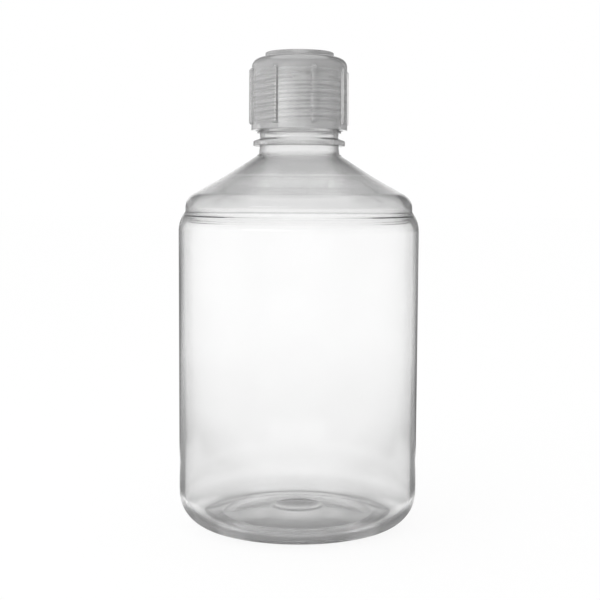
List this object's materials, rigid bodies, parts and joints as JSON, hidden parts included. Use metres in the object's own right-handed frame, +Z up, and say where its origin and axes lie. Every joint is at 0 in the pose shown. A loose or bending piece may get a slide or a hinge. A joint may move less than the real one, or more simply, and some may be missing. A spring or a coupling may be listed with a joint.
{
  "type": "reagent bottle",
  "caption": "Heavy-walled clear plastic lab bottle with a straight round body, stepped cone shoulder, flanged neck and a ribbed screw cap that unscrews and lifts clear of the mouth.",
  "frame": {"origin": "centre of the foot ring, on the surface that the bottle stands on", "axes": "+Z up along the bottle's axis; the picture looks along +Y, so -Y is the front"},
  "size_m": [0.1608, 0.1608, 0.3161],
  "materials": {
    "bottle_plastic": "clear moulded plastic, slightly hazy",
    "cap_plastic": "translucent natural moulded plastic, satin",
    "gasket_rubber": "soft natural white"
  },
  "bodies": {
    "bottle": {"bottle": "bottle_plastic"},
    "gasket": {"gasket": "gasket_rubber"},
    "cap": {"screw_cap": "cap_plastic"}
  },
  "joints": [
    {"name": "cap_lift", "type": "slide", "parent": "bottle", "child": "gasket", "axis": [0, 0, 1], "range_m": [0, 0.0483]},
    {"name": "cap_turn", "type": "hinge", "parent": "gasket", "child": "cap", "pos_m": [0, 0, 0.285], "axis": [0, 0, 1], "range_deg": [0, 3420]}
  ],
  "couplings": [
    {"joint": "cap_lift", "follows": "cap_turn", "m_per_rad": 0.00080851}
  ]
}
